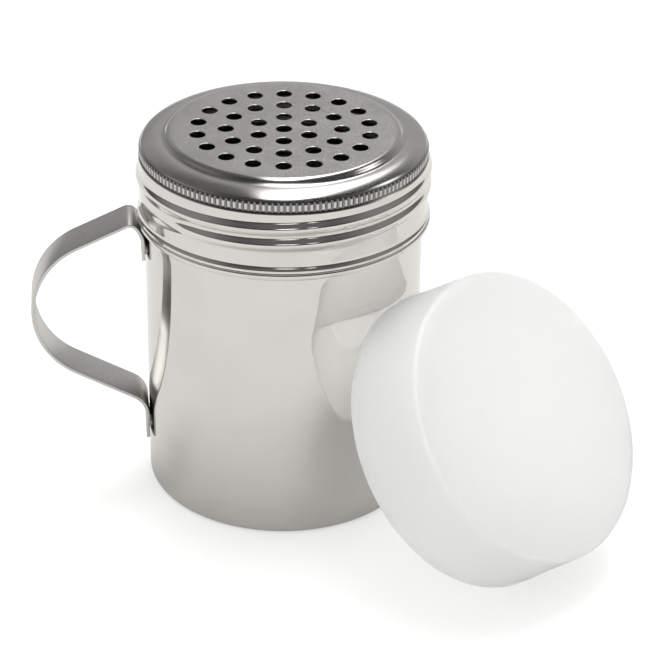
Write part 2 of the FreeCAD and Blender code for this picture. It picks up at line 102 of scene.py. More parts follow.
class Signal:
    """A node output that can be used in arithmetic, which adds Math nodes to its tree."""

    def __init__(self, recipe: "Recipe", socket: bpy.types.NodeSocket) -> None:
        """Wrap a socket.

        Args:
            recipe: The node tree builder that the socket belongs to.
            socket: The output socket.
        """
        self.recipe = recipe
        self.socket = socket

    def _math(self, operation: str, *values: "Signal | float") -> "Signal":
        """Add one Math node.

        Args:
            operation: The Math node's operation.
            *values: Its inputs, in order.

        Returns:
            The node's result.
        """
        return self.recipe.node("ShaderNodeMath", {"operation": operation}, dict(enumerate(values)))

    def __add__(self, other: "Signal | float") -> "Signal":
        """Sum."""
        return self._math("ADD", self, other)

    def __radd__(self, other: float) -> "Signal":
        """Sum, with a number first."""
        return self._math("ADD", other, self)

    def __sub__(self, other: "Signal | float") -> "Signal":
        """Difference."""
        return self._math("SUBTRACT", self, other)

    def __rsub__(self, other: float) -> "Signal":
        """Difference, with a number first."""
        return self._math("SUBTRACT", other, self)

    def __mul__(self, other: "Signal | float") -> "Signal":
        """Product."""
        return self._math("MULTIPLY", self, other)

    def __rmul__(self, other: float) -> "Signal":
        """Product, with a number first."""
        return self._math("MULTIPLY", other, self)

    def __truediv__(self, other: "Signal | float") -> "Signal":
        """Quotient."""
        return self._math("DIVIDE", self, other)

    def __abs__(self) -> "Signal":
        """Size without sign."""
        return self._math("ABSOLUTE", self)

    def at_least(self, other: "Signal | float") -> "Signal":
        """The larger of two values."""
        return self._math("MAXIMUM", self, other)

    def eased(self, start: float, end: float, low: float = 0.0, high: float = 1.0) -> "Signal":
        """Map a range smoothly onto another.

        Args:
            start: Value at which the result is low.
            end: Value at which the result is high.
            low: Result up to the start.
            high: Result from the end on.

        Returns:
            The mapped value, held at both ends.
        """
        settings = {"interpolation_type": "SMOOTHSTEP", "clamp": True}
        values = {"Value": self, "From Min": start, "From Max": end, "To Min": low, "To Max": high}
        return self.recipe.node("ShaderNodeMapRange", settings, values)


class Recipe:
    """Builds one node tree, for a material or for the world."""

    def __init__(self, tree: bpy.types.NodeTree) -> None:
        """Start with an empty tree.

        Args:
            tree: The node tree to fill.
        """
        self.tree = tree
        tree.nodes.clear()

    def node(self, kind: str, settings: dict | None = None, values: dict | None = None,
             output: int | str = 0) -> Signal:
        """Add a node.

        Args:
            kind: The node's Blender type.
            settings: Attributes, which are set before its inputs.
            values: Input values or links, by name or index.
            output: The output to return.

        Returns:
            That output.
        """
        made = self.tree.nodes.new(kind)
        for name, value in (settings or {}).items():
            setattr(made, name, value)
        for name, value in (values or {}).items():
            if isinstance(value, Signal):
                self.tree.links.new(value.socket, made.inputs[name])
            else:
                made.inputs[name].default_value = value
        return Signal(self, made.outputs[output]) if made.outputs else Signal(self, None)

    def mixed(self, factor: Signal | float, *colours: Colour | Signal) -> Signal:
        """Mix two colours.

        Args:
            factor: Share of the second.
            *colours: The colour at zero and the one at one.

        Returns:
            The mixed colour.
        """
        first, second = (colour if isinstance(colour, Signal) else (*colour, 1.0) for colour in colours)
        return self.node("ShaderNodeMix", {"data_type": "RGBA"}, {0: factor, 6: first, 7: second}, output=2)

    def place(self) -> Signal:
        """The place on the object, in metres of the CAD frame."""
        return self.node("ShaderNodeTexCoord", output="Object")

    def scaled(self, place: Signal, by: Sequence[float]) -> Signal:
        """Stretch a place.

        Args:
            place: The place.
            by: Factor along each axis.

        Returns:
            The stretched place.
        """
        return self.node("ShaderNodeVectorMath", {"operation": "MULTIPLY"}, {0: place, 1: by})

    def reach(self, place: Signal) -> Signal:
        """The distance from the object's axis."""
        flat = self.scaled(place, (1.0, 1.0, 0.0))
        return self.node("ShaderNodeVectorMath", {"operation": "LENGTH"}, {0: flat}, output="Value")

    def ringed(self, place: Signal) -> Signal:
        """The distance from the object's axis, as a place along one line."""
        return self.node("ShaderNodeCombineXYZ", {}, {"X": self.reach(place)})

    def along(self, place: Signal, axis: Sequence[float]) -> Signal:
        """The part of a vector along an axis."""
        return self.node("ShaderNodeVectorMath", {"operation": "DOT_PRODUCT"}, {0: place, 1: tuple(axis)},
                         output="Value")

    def noise(self, place: Signal, scale: float, detail: float) -> Signal:
        """Cloudy noise from zero to one.

        Args:
            place: Where it is looked up.
            scale: Clouds in one unit of place.
            detail: Octaves.

        Returns:
            The noise.
        """
        return self.node("ShaderNodeTexNoise", {"noise_dimensions": "3D"},
                         {"Vector": place, "Scale": scale, "Detail": detail})

    def relief(self, height: Signal, depth: float, under: Signal | None = None) -> Signal:
        """A normal bent by a height.

        Args:
            height: The height, from zero to one.
            depth: What one stands for, in metres.
            under: A normal that is bent already.

        Returns:
            The normal.
        """
        values = {"Height": height, "Distance": depth, "Strength": 1.0}
        if under is not None:
            values["Normal"] = under
        return self.node("ShaderNodeBump", {}, values)


@dataclass(frozen=True)
class Finish:
    """A named finish. Each kind of finish says what its shader needs."""

    name: str

    def sockets(self, recipe: Recipe) -> dict:
        """Work out what the shader needs, which the kinds of finish do in place of this one."""
        raise NotImplementedError

    def material(self) -> bpy.types.Material:
        """Make the material.

        Returns:
            The material.
        """
        made = bpy.data.materials.new(self.name)
        made.use_nodes = True
        recipe = Recipe(made.node_tree)
        shader = recipe.node("ShaderNodeBsdfPrincipled", {}, self.sockets(recipe))
        recipe.node("ShaderNodeOutputMaterial", {}, {"Surface": shader})
        return made


@dataclass(frozen=True)
class DrawnSteel(Finish):
    """Stainless steel drawn to shape and polished, with faint marks that run up the wall, and with shade painted
    into the grooves of a knurl when groove radii are given.
    """

    bright: Colour = (0.69, 0.675, 0.65)
    dull: Colour = (0.66, 0.645, 0.62)
    roughness: float = 0.06
    roughness_spread: float = 0.04
    mark_stretch: tuple[float, float, float] = (1100.0, 1100.0, 60.0)
    mark_depth: float = 0.001 * MM
    cloud_scale: float = 55.0
    cloud_span: Point = (0.35, 0.7)
    wave_scale: float = 32.0
    wave_depth: float = 0.03 * MM
    # Painted shade: between these radii the grooves of a knurl fade from a darker painted shade tone to the
    # steel's own colour.
    groove: Point | None = None
    painted_groove_shade: float = 0.42

    def sockets(self, recipe: Recipe) -> dict:
        """Work out what the shader needs.

        Args:
            recipe: The material's recipe.

        Returns:
            Values or links, by the name of the socket.
        """
        place = recipe.place()
        marks = recipe.noise(recipe.scaled(place, self.mark_stretch), 1.0, FINE)
        clouds = recipe.noise(place, self.cloud_scale, SOFT)
        waves = recipe.noise(place, self.wave_scale, SMOOTH)
        colour = recipe.mixed(clouds.eased(*self.cloud_span), self.bright, self.dull)
        # Painted shade: the colour darkens towards the bottoms of the grooves, below the given radii.
        if self.groove:
            tone = tuple(self.painted_groove_shade * part for part in self.dull)
            colour = recipe.mixed(recipe.reach(place).eased(*self.groove), tone, colour)
        rough = (marks + clouds) * (self.roughness_spread / 2) + (self.roughness - self.roughness_spread / 2)
        bent = recipe.relief(waves, self.wave_depth, recipe.relief(marks, self.mark_depth))
        return {"Base Color": colour, "Metallic": 1.0, "Roughness": rough, "Normal": bent}


@dataclass(frozen=True)
class SatinSteel(Finish):
    """Stainless steel with a fine grain."""

    grain: Grain
    bright: Colour = (0.62, 0.61, 0.595)
    dull: Colour = (0.52, 0.51, 0.495)
    roughness: float = 0.24
    roughness_spread: float = 0.12
    drawn_out: float = 0.0
    drawn_turn: float = 0.25
    ring_scale: float = 5200.0
    speck_scale: float = 1700.0
    strap_stretch: tuple[float, float, float] = (3800.0, 260.0, 3800.0)
    grain_depth: float = 0.004 * MM
    cloud_scale: float = 110.0
    cloud_share: float = 0.35
    tone_span: Point = (0.3, 0.7)

    def pattern(self, recipe: Recipe, place: Signal) -> Signal:
        """The grain, from zero to one.

        Args:
            recipe: The material's recipe.
            place: The place on the object.

        Returns:
            The pattern of the finish's grain.
        """
        if self.grain is Grain.TURNED:
            return recipe.noise(recipe.ringed(place), self.ring_scale, FINE)
        if self.grain is Grain.BLASTED:
            return recipe.noise(place, self.speck_scale, FINE)
        return recipe.noise(recipe.scaled(place, self.strap_stretch), 1.0, FINE)

    def sockets(self, recipe: Recipe) -> dict:
        """Work out what the shader needs.

        Args:
            recipe: The material's recipe.

        Returns:
            Values or links, by the name of the socket.
        """
        place = recipe.place()
        grain = self.pattern(recipe, place)
        clouds = recipe.noise(place, self.cloud_scale, CLOUDY)
        tone = (grain * (1 - self.cloud_share) + clouds * self.cloud_share).eased(*self.tone_span)
        colour = recipe.mixed(tone, self.dull, self.bright)
        rough = grain * self.roughness_spread + (self.roughness - self.roughness_spread / 2)
        return {
            "Base Color": colour, "Metallic": 1.0, "Roughness": rough, "Anisotropic": self.drawn_out,
            "Anisotropic Rotation": self.drawn_turn, "Normal": recipe.relief(grain, self.grain_depth)}


@dataclass(frozen=True)
class MilkyPlastic(Finish):
    """Moulded translucent polythene with a soft satin surface."""

    clear: Colour = (0.975, 0.98, 0.98)
    cloudy: Colour = (0.985, 0.985, 0.975)
    roughness: float = 0.46
    roughness_spread: float = 0.08
    passes: float = 0.58
    bend: float = 1.3
    scatter: float = 16.0 * MM
    cloud_scale: float = 45.0
    cloud_span: Point = (0.3, 0.7)
    skin_scale: float = 2600.0
    skin_depth: float = 0.004 * MM

    def sockets(self, recipe: Recipe) -> dict:
        """Work out what the shader needs.

        Args:
            recipe: The material's recipe.

        Returns:
            Values or links, by the name of the socket.
        """
        place = recipe.place()
        clouds = recipe.noise(place, self.cloud_scale, CLOUDY)
        skin = recipe.noise(place, self.skin_scale, SOFT)
        colour = recipe.mixed(clouds.eased(*self.cloud_span), self.clear, self.cloudy)
        rough = skin * self.roughness_spread + (self.roughness - self.roughness_spread / 2)
        return {
            "Base Color": colour, "Roughness": rough, "IOR": self.bend,
            "Transmission Weight": self.passes, "Subsurface Weight": 1.0, "Subsurface Scale": self.scatter,
            "Subsurface Radius": (1.0, 1.0, 1.0), "Normal": recipe.relief(skin, self.skin_depth)}


@dataclass(frozen=True)
class StudioPaper(Finish):
    """Plain pale paper lit softly from below, which looks dimmer in the metal than to the camera."""

    colour: Colour = (0.34, 0.34, 0.335)
    lit: Colour = (1.0, 0.995, 0.985)
    lit_in_metal: Colour = (0.3, 0.298, 0.295)
    strength: float = 0.52

    def sockets(self, recipe: Recipe) -> dict:
        """Work out what the shader needs.

        Args:
            recipe: The material's recipe.

        Returns:
            Values or links, by the name of the socket.
        """
        mirrored = recipe.node("ShaderNodeLightPath", output="Is Glossy Ray")
        return {
            "Base Color": (*self.colour, 1.0), "Roughness": 1.0, "Specular IOR Level": 0.0,
            "Emission Color": recipe.mixed(mirrored, self.lit, self.lit_in_metal),
            "Emission Strength": self.strength}


def faded(share: float) -> float:
    """A smooth rise from zero to one."""
    share = min(max(share, 0.0), 1.0)
    return share * share * (3 - 2 * share)


def arc(start: Point, end: Point, radius: float, turn: int, steps: int = ARC_STEPS) -> list[Point]:
    """Points of a short arc, without its start.

    Args:
        start: First end.
        end: Last end.
        radius: The arc's radius.
        turn: 1 to the left from start to end, -1 to the right.
        steps: Number of points.

    Returns:
        The points, ending with the end.
    """
    a, b = Vector(start), Vector(end)
    chord = b - a
    reach = math.sqrt(max(radius ** 2 - (chord.length / 2) ** 2, 0.0))
    left = Vector((-chord.y, chord.x)).normalized()
    centre = (a + b) / 2 + left * (reach * turn)
    first = math.atan2(a.y - centre.y, a.x - centre.x)
    sweep = (math.atan2(b.y - centre.y, b.x - centre.x) - first) % FULL_TURN
    if turn < 0:
        sweep -= FULL_TURN
    angles = [first + sweep * step / steps for step in range(1, steps + 1)]
    return [(centre.x + radius * math.cos(angle), centre.y + radius * math.sin(angle)) for angle in angles]


def run(start: Point, end: Point, steps: int) -> list[Point]:
    """Points of a straight run, without its start."""
    return [(start[0] + (end[0] - start[0]) * step / steps, start[1] + (end[1] - start[1]) * step / steps)
            for step in range(1, steps + 1)]


class Lathe:
    """Builds a turned mesh, ring by ring, in a bmesh."""

    def __init__(self, columns: int) -> None:
        """Start an empty mesh.

        Args:
            columns: Points of a ring.
        """
        self.columns = columns
        self.mesh = bmesh.new()
        self.material = 0

    def finish_from(self, side: CupSide | LidSide) -> None:
        """Give the faces made from here on the material of another side of the piece."""
        self.material = side.value

    def face(self, points: Sequence[bmesh.types.BMVert]) -> None:
        """Add a face in the current material."""
        self.mesh.faces.new(points).material_index = self.material

    def ring(self, at: Point, columns: int | None = None, swell: Swell | None = None) -> list[bmesh.types.BMVert]:
        """Add a ring of points.

        Args:
            at: Radius and height.
            columns: Number of points, if not the usual one.
            swell: Added to the radius, from the angle and the height.

        Returns:
            The points.
        """
        count = columns or self.columns
        points = []
        for index in range(count):
            angle = FULL_TURN * index / count
            radius = at[0] + (swell(angle, at[1]) if swell else 0.0)
            points.append(self.mesh.verts.new((radius * math.cos(angle), radius * math.sin(angle), at[1])))
        return points

    def bridge(self, first: list[bmesh.types.BMVert], second: list[bmesh.types.BMVert]) -> None:
        """Fill between two rings, whose counts may be multiples of each other.

        Args:
            first: One ring.
            second: The next ring, to the right of the first where the outline runs upwards outside.
        """
        if len(first) == 1:
            for index, point in enumerate(second):
                self.face((first[0], point, second[(index + 1) % len(second)]))
            return
        if len(second) == 1:
            for index, point in enumerate(first):
                self.face((point, second[0], first[(index + 1) % len(first)]))
            return
        count = min(len(first), len(second))
        near, far = len(first) // count, len(second) // count
        for index in range(count):
            low = [first[(index * near + step) % len(first)] for step in range(near + 1)]
            high = [second[(index * far + step) % len(second)] for step in range(far + 1)]
            self.face((*low, *reversed(high)))

    def turn(self, outline: Sequence[Point], start: list[bmesh.types.BMVert] | None = None,
             columns: int | None = None, swell: Swell | None = None) -> list[bmesh.types.BMVert]:
        """Add rings along an outline and fill between them.

        Args:
            outline: Radii and heights.
            start: A ring to begin from.
            columns: Number of points, if not the usual one.
            swell: Added to each radius.

        Returns:
            The last ring.
        """
        last = start
        for at in outline:
            if at[0] == 0.0:
                new = [self.mesh.verts.new((0.0, 0.0, at[1]))]
            else:
                new = self.ring(at, columns, swell)
            if last is not None:
                self.bridge(last, new)
            last = new
        return last

    def finish(self, name: str, sharp: float = SHARP_EDGE) -> bpy.types.Object:
        """Make the object, smooth but for its sharp edges.

        Args:
            name: The object's name.
            sharp: Edges that turn by more than this stay sharp.

        Returns:
            The object.
        """
        bmesh.ops.recalc_face_normals(self.mesh, faces=self.mesh.faces)
        return mesh_object(name, self.mesh, sharp)


def mesh_object(name: str, source: bmesh.types.BMesh, sharp: float) -> bpy.types.Object:
    """Turn a bmesh into an object in the scene.

    Args:
        name: The object's name.
        source: The bmesh, which is freed.
        sharp: Edges that turn by more than this stay sharp.

    Returns:
        The object.
    """
    data = bpy.data.meshes.new(name)
    source.to_mesh(data)
    source.free()
    data.shade_smooth()
    data.set_sharp_from_angle(angle=sharp)
    made = bpy.data.objects.new(name, data)
    bpy.context.scene.collection.objects.link(made)
    return made


def dressed(piece: bpy.types.Object, *finishes: bpy.types.Material) -> bpy.types.Object:
    """Give a piece its materials in place of any that it has, with its faces' choice among them kept.

    Args:
        piece: The piece.
        *finishes: The materials, in the order of their indices.

    Returns:
        The piece.
    """
    slots = piece.data.materials
    for index, finish in enumerate(finishes):
        if index < len(slots):
            slots[index] = finish
        else:
            slots.append(finish)
    return piece


def taken_for(piece: bpy.types.Object, node: str, body: str) -> None:
    """Let a piece stand for a CAD node.

    Args:
        piece: The piece.
        node: The node that it replaces.
        body: The body that it rides on.
    """
    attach(piece, body)
    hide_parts(node)
    LOG.info("%s: %d faces for node %s", piece.name, len(piece.data.polygons), node)


@dataclass
class Thread:
    """The two-turn thread that is rolled into the cup's neck and the lid."""

    pitch: float = 4.1 * MM
    foot: float = 81.8 * MM
    start: float = math.radians(175.0)
    turns: float = 2.0
    fade: float = math.radians(80.0)

    def swell(self, ridge: float, width: float) -> Swell:
        """How far the thread stands out of a wall.

        Args:
            ridge: Height of its crest.
            width: Width of its foot.

        Returns:
            A function of the angle and the height.
        """
        sweep = self.turns * FULL_TURN

        def at(angle: float, height: float) -> float:
            """The swell at one place.

            Args:
                angle: Angle about the axis.
                height: Height above the base.

            Returns:
                What it adds to the radius.
            """
            turned = (angle - self.start) % FULL_TURN
            total = 0.0
            while turned <= sweep:
                shown = faded(min(turned, sweep - turned) / self.fade)
                away = abs(height - self.foot - self.pitch * turned / FULL_TURN)
                if away < width / 2:
                    total += ridge * shown * math.cos(HALF_TURN * away / width) ** 2
                turned += FULL_TURN
            return total

        return at


@dataclass
class Cup:
    """Deep-drawn cup with a drawn-in neck and a curled rim."""

    thread: Thread
    radius: float = 35.0 * MM
    height: float = 93.6 * MM
    wall: float = 0.6 * MM
    base_round: float = 1.8 * MM
    neck_foot: float = 76.0 * MM
    neck_blend: float = 0.8 * MM
    neck_inset: float = 0.3 * MM
    rim_roll: float = 0.475 * MM
    thread_ridge: float = 0.7 * MM
    thread_width: float = 4.0 * MM
    columns: int = 360
    floor_rings: int = 4
    base_arc: int = 8
    wall_rows: int = 12
    neck_rows: int = 64
    rim_start: int = 4

    def rim_crest(self) -> float:
        """The outer radius of the curled rim."""
        return self.radius - self.neck_inset - self.wall + 2 * self.rim_roll

    def build(self, outer: bpy.types.Material, inner: bpy.types.Material) -> None:
        """Make the cup.

        Args:
            outer: Material of the outside and the rim.
            inner: Material of the inside.
        """
        base = self.radius - self.base_round
        neck = self.radius - self.neck_inset
        bore, neck_bore = self.radius - self.wall, neck - self.wall
        neck_head = self.neck_foot + self.neck_blend
        roll_height = self.height - self.rim_roll
        roll_radius = neck_bore + self.rim_roll
        crest = roll_radius + self.rim_roll
        rim_under = roll_height - self.rim_roll
        swell = self.thread.swell(self.thread_ridge, self.thread_width)
        lathe = Lathe(self.columns)
        outside = [(0.0, 0.0), *run((0.0, 0.0), (base, 0.0), self.floor_rings),
                   *arc((base, 0.0), (self.radius, self.base_round), self.base_round, 1, self.base_arc),
                   *run((self.radius, self.base_round), (self.radius, self.neck_foot), self.wall_rows),
                   (neck, neck_head)]
        last = lathe.turn(outside)
        last = lathe.turn(run((neck, neck_head), (neck, rim_under), self.neck_rows), last, swell=swell)
        curl = [*arc((neck, rim_under), (crest, roll_height), self.rim_roll, 1, self.rim_start),
                *arc((crest, roll_height), (roll_radius, self.height), self.rim_roll, 1),
                *arc((roll_radius, self.height), (neck_bore, roll_height), self.rim_roll, 1)]
        last = lathe.turn(curl, last)
        lathe.finish_from(CupSide.INSIDE)
        last = lathe.turn(run((neck_bore, roll_height), (neck_bore, neck_head), self.neck_rows), last, swell=swell)
        inner_round = self.base_round - self.wall
        inside = [(bore, self.neck_foot), *run((bore, self.neck_foot), (bore, self.base_round), self.wall_rows),
                  *arc((bore, self.base_round), (base, self.wall), inner_round, -1),
                  *run((base, self.wall), (0.0, self.wall), self.floor_rings)]
        lathe.turn(inside, last)
        cup = dressed(lathe.finish("polished_cup"), outer, inner)
        taken_for(cup, "cup", "dredger")


@dataclass
class Holes:
    """The pouring holes: one in the middle and rings of six more each time."""

    radius: float = 1.97 * MM
    edge: float = 0.15 * MM
    pitch: float = 7.185 * MM
    turn: float = math.radians(-5.0)
    rings: int = 3
    first_ring: int = 6
    columns: int = 36
    edge_rows: int = 4

    def centres(self) -> list[Point]:
        """The places of the holes.

        Returns:
            The middle of each, from the axis.
        """
        places = [(0.0, 0.0)]
        for ring in range(1, self.rings + 1):
            count = ring * self.first_ring
            for index in range(count):
                angle = self.turn + QUARTER_TURN + FULL_TURN * index / count
                places.append((ring * self.pitch * math.cos(angle), ring * self.pitch * math.sin(angle)))
        return places


@dataclass
class Lid:
    """Pressed screw lid with a pierced disc, a domed shoulder, a knurled band and a rolled hem."""

    cup: Cup
    holes: Holes = field(default_factory=Holes)
    wall: float = 0.45 * MM
    clearance: float = 0.3 * MM
    seat_gap: float = 0.5 * MM
    height: float = 23.2 * MM
    hem_roll: float = 0.61 * MM
    hem_flat: float = 0.35 * MM
    groove_rise: float = 0.6 * MM
    groove_depth: float = 0.8 * MM
    lip_rise: float = 0.3 * MM
    lip_height: float = 0.6 * MM
    lip_proud: float = 0.52 * MM
    flare_height: float = 1.3 * MM
    flare_round: float = 2.5 * MM
    knurl_wall: float = 0.35 * MM
    knurl_depth: float = 0.33 * MM
    knurl_foot_drop: float = 5.55 * MM
    knurl_height: float = 2.5 * MM
    knurl_ridges: int = 158
    bead_sides: float = 1.3
    bead_end_share: float = 0.22
    knurl_step: float = 0.45 * MM
    bore_step: float = 0.6 * MM
    shoulder_inset: float = 0.15 * MM
    corner_rise: float = 0.6 * MM
    corner_run: float = 0.7 * MM
    corner_round: float = 2.0 * MM
    dome_drop: float = 2.25 * MM
    dome_round: float = 9.0 * MM
    ledge_drop: float = 1.3 * MM
    ledge_radius: float = 31.0 * MM
    ledge_width: float = 0.4 * MM
    step_width: float = 2.7 * MM
    step_round: float = 1.73 * MM
    thread_ridge: float = 0.8 * MM
    thread_width: float = 4.5 * MM
    support: float = 0.08 * MM
    columns_per_ridge: int = 12
    columns_joined: int = 6
    knurl_rows: int = 20
    band_rows: int = 52
    ledge_rings: int = 2
    dome_arc: int = 12
    lip_rows: int = 2
    hem_start: int = 4
    inner_corner_arc: int = 5
    inner_dome_arc: int = 8
    # Painted shade: the grooves get full painted shade up to this share of the knurl's depth, then it fades out
    # towards the crests.
    painted_shade_share: float = 0.5
    sharp: float = math.radians(26.0)

    def knurl_root(self) -> float:
        """The radius of the bottoms of the knurl's grooves."""
        return self.cup.rim_crest() + self.clearance + self.knurl_wall

    def groove(self) -> Point:
        """The radii between which the painted shade in the knurl's grooves fades out."""
        root = self.knurl_root()
        return root + self.painted_shade_share * self.knurl_depth, root + self.knurl_depth

    def knurl(self, foot: float, head: float) -> Swell:
        """How far the upright beads of the knurl stand out.

        Args:
            foot: Lower end.
            head: Upper end.

        Returns:
            A function of the angle and the height.
        """
        def at(angle: float, height: float) -> float:
            """The bead at one place.

            Args:
                angle: Angle about the axis.
                height: Height above the base.

            Returns:
                What it adds to the radius.
            """
            across = abs(math.cos(angle * self.knurl_ridges / 2))
            from_end = min(height - foot, head - height) / (head - foot)
            return self.knurl_depth * across ** self.bead_sides * faded(from_end / self.bead_end_share)

        return at

    def build(self, *finishes: bpy.types.Material) -> None:
        """Make the lid.

        Args:
            *finishes: Materials of the bright side, the disc, the turned shoulder, the inside and the knurl.
        """
        cup, wall = self.cup, self.wall
        bore = cup.radius - cup.neck_inset + cup.thread_ridge + self.clearance
        band = bore + wall
        lid_top = cup.height + self.seat_gap + wall + self.dome_drop
        knurl_foot = lid_top - self.knurl_foot_drop
        knurl_head = knurl_foot + self.knurl_height
        knurl_bore = cup.rim_crest() + self.clearance
        root = self.knurl_root()
        shoulder = root - self.shoulder_inset
        corner = shoulder - self.corner_run
        dome_foot = lid_top - self.dome_drop
        shoulder_foot = dome_foot - self.corner_rise
        ledge_top = lid_top - self.ledge_drop
        ledge_inner = self.ledge_radius - self.ledge_width
        step_centre = ledge_inner - self.step_width / 2
        step_middle = lid_top - self.ledge_drop / 2
        disc = ledge_inner - self.step_width
        hem_foot = lid_top - self.height
        hem_centre = hem_foot + self.hem_roll
        hem_crest = bore + 2 * self.hem_roll
        hem_shoulder = hem_centre + self.hem_flat
        groove = (hem_crest - self.groove_depth, hem_shoulder + self.groove_rise)
        lip_foot = groove[1] + self.lip_rise
        lip_head = lip_foot + self.lip_height
        lip = band + self.lip_proud
        flare_head = lip_head + self.flare_height
        band_head = knurl_foot - self.knurl_step

        fine = self.knurl_ridges * self.columns_per_ridge
        lathe = Lathe(fine // self.columns_joined)
        swell = cup.thread.swell(self.thread_ridge, self.thread_width)
        rim = lathe.ring((disc, lid_top))
        outer_top = [
            *arc((disc, lid_top), (step_centre, step_middle), self.step_round, -1),
            *arc((step_centre, step_middle), (ledge_inner, ledge_top), self.step_round, 1),
            *run((ledge_inner, ledge_top), (self.ledge_radius, ledge_top), self.ledge_rings),
            *arc((self.ledge_radius, ledge_top), (corner, dome_foot), self.dome_round, -1, self.dome_arc),
            *arc((corner, dome_foot), (shoulder, shoulder_foot), self.corner_round, -1)]
        lathe.finish_from(LidSide.SHOULDER)
        last = lathe.turn(outer_top, rim)
        lathe.finish_from(LidSide.KNURL)
        ridges = self.knurl(knurl_foot, knurl_head)
        last = lathe.turn([(root, knurl_head)], last, columns=fine)
        last = lathe.turn(run((root, knurl_head), (root, knurl_foot), self.knurl_rows), last, fine, ridges)
        last = lathe.turn([(band, band_head)], last)
        lathe.finish_from(LidSide.BRIGHT)
        last = lathe.turn(run((band, band_head), (band, flare_head), self.band_rows), last, swell=swell)
        lower = [*arc((band, flare_head), (lip, lip_head), self.flare_round, 1),
                 *run((lip, lip_head), (lip, lip_foot), self.lip_rows),
                 groove,
                 *arc(groove, (hem_crest, hem_shoulder), self.hem_roll, -1, self.hem_start),
                 (hem_crest, hem_centre),
                 *arc((hem_crest, hem_centre), (bore + self.hem_roll, hem_foot), self.hem_roll, -1),
                 *arc((bore + self.hem_roll, hem_foot), (bore, hem_centre), self.hem_roll, -1)]
        last = lathe.turn(lower, last)
        lathe.finish_from(LidSide.INSIDE)
        bore_head = knurl_foot - self.bore_step
        last = lathe.turn(run((bore, hem_centre), (bore, bore_head), self.band_rows), last, swell=swell)
        inner = [(knurl_bore, knurl_foot), (knurl_bore, knurl_head - wall / 2),
                 *arc((knurl_bore, knurl_head - wall / 2), (corner - wall, dome_foot - wall),
                      self.corner_round + wall / 2, 1, self.inner_corner_arc),
                 *arc((corner - wall, dome_foot - wall), (self.ledge_radius, ledge_top - wall),
                      self.dome_round - wall, 1, self.inner_dome_arc),
                 (ledge_inner - wall / 2, ledge_top - wall), (disc - wall / 2, lid_top - wall)]
        under = lathe.turn(inner, last)
        self.pierce(lathe, rim, under, lid_top, lid_top - wall)
        lid = dressed(lathe.finish("pierced_lid", self.sharp), *finishes)
        taken_for(lid, "perforated_lid", "lid")

    def pierce(self, lathe: Lathe, rim: list[bmesh.types.BMVert], under: list[bmesh.types.BMVert],
               top: float, underside: float) -> None:
        """Fill the disc and its underside round the pouring holes.

        Args:
            lathe: The lathe with the rest of the lid.
            rim: Outer ring of the disc's top.
            under: Outer ring of its underside.
            top: Height of the top.
            underside: Height of the underside.
        """
        holes, mesh = self.holes, lathe.mesh
        edge_round = arc((holes.radius + holes.edge, top), (holes.radius, top - holes.edge), holes.edge, 1,
                         holes.edge_rows)
        tops, bottoms = [], []
        lathe.finish_from(LidSide.BRIGHT)
        for x, y in holes.centres():
            outline = [(holes.radius + holes.edge + self.support, top), (holes.radius + holes.edge, top),
                       *edge_round, (holes.radius, underside), (holes.radius + self.support, underside)]
            rings = []
            for radius, height in outline:
                rings.append([mesh.verts.new((x + radius * math.cos(FULL_TURN * step / holes.columns),
                                              y + radius * math.sin(FULL_TURN * step / holes.columns), height))
                              for step in range(holes.columns)])
            for upper, lower in zip(rings, rings[1:]):
                lathe.bridge(upper, lower)
            tops.append(rings[0])
            bottoms.append(rings[-1])
        for side, outer, inners in ((LidSide.DISC, rim, tops), (LidSide.INSIDE, under, bottoms)):
            lathe.finish_from(side)
            inset = lathe.ring((outer[0].co.xy.length - self.support, outer[0].co.z), len(outer))
            lathe.bridge(outer, inset)
            edges = []
            for loop in (inset, *inners):
                for first, second in zip(loop, [*loop[1:], loop[0]]):
                    edges.append(mesh.edges.get((first, second)) or mesh.edges.new((first, second)))
            filled = bmesh.ops.triangle_fill(mesh, use_beauty=True, use_dissolve=False, edges=edges)
            for made in filled["geom"]:
                if isinstance(made, bmesh.types.BMFace):
                    made.material_index = side.value


